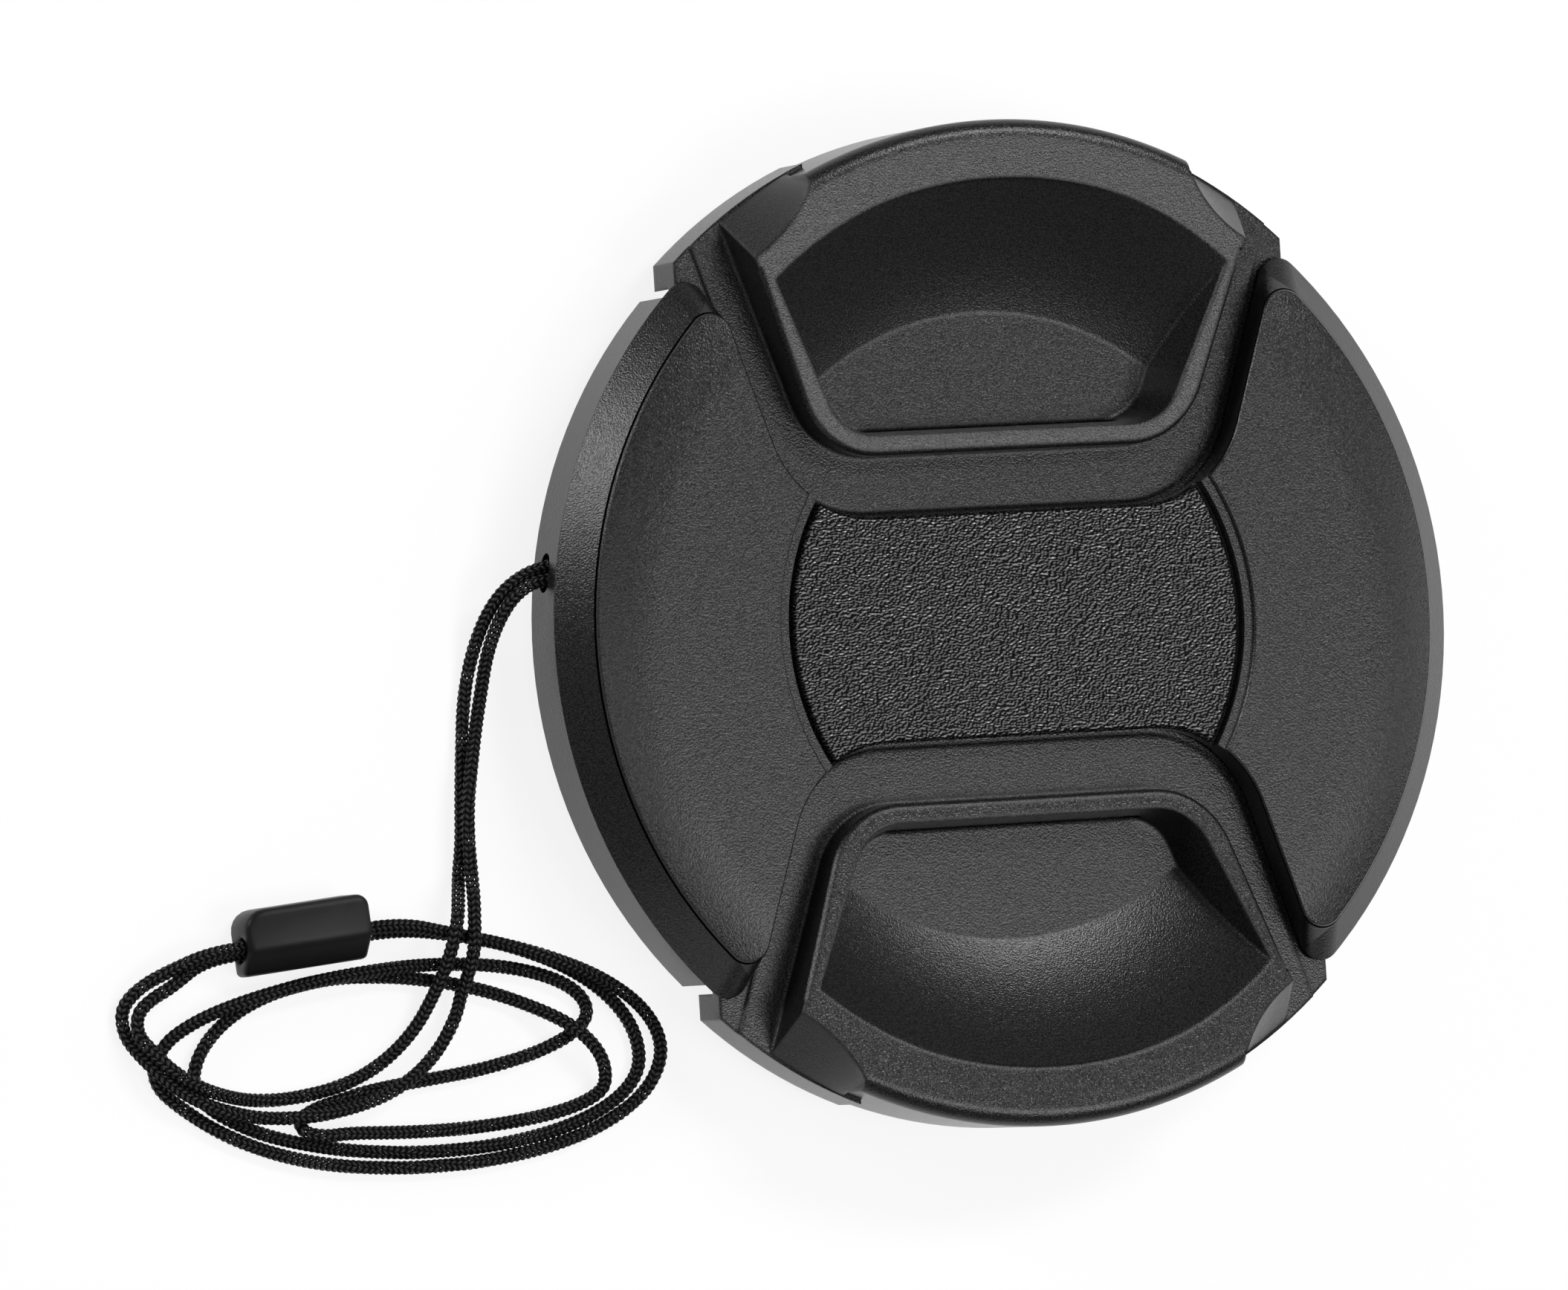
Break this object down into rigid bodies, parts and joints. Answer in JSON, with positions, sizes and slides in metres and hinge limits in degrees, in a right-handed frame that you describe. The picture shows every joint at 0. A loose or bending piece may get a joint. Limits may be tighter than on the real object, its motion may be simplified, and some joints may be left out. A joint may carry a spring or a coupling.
{
  "type": "camera lens cap",
  "caption": "Round centre-pinch lens cap with two sprung latches, finger wells, chamfered wings, a grained centre plate and a thin cord leash with a sliding lock.",
  "frame": {"origin": "centre of the cap's own box at the bottom edge of the spigot ring, on which it lies", "axes": "+Z out of the front face, +Y towards the upper latch, +X to the right seen from the front"},
  "size_m": [0.1168, 0.083, 0.0123],
  "materials": {
    "cover_plastic": "fine spark texture",
    "plate_plastic": "satin leather grain",
    "latch_plastic": "fine spark texture",
    "spring_steel": "bright wire",
    "cord": "braided nylon",
    "lock_plastic": "gloss"
  },
  "bodies": {
    "cap": {"back_cover": "cover_plastic", "front_cover": "cover_plastic", "centre_plate": "plate_plastic", "left_spring": "spring_steel", "right_spring": "spring_steel", "outer_strand": "cord", "inner_strand": "cord", "upper_lock_strand": "cord", "lower_lock_strand": "cord", "leash_coil": "cord"},
    "upper_jaw": {"upper_latch": "latch_plastic"},
    "lower_jaw": {"lower_latch": "latch_plastic"},
    "lock": {"cord_lock": "lock_plastic"}
  },
  "joints": [
    {"name": "upper_latch_slide", "type": "slide", "parent": "cap", "child": "upper_jaw", "axis": [0, -1, 0], "range_m": [0, 0.0025], "stiffness_N_per_m": 900, "springref_m": -0.002, "deforming": ["left_spring", "right_spring"]},
    {"name": "lower_latch_slide", "type": "slide", "parent": "cap", "child": "lower_jaw", "axis": [0, 1, 0], "range_m": [0, 0.0025], "stiffness_N_per_m": 900, "springref_m": -0.002, "deforming": ["left_spring", "right_spring"]},
    {"name": "cord_lock_slide", "type": "slide", "parent": "cap", "child": "lock", "axis": [0.9962, 0.0872, 0], "range_m": [-0.003, 0.003]}
  ]
}
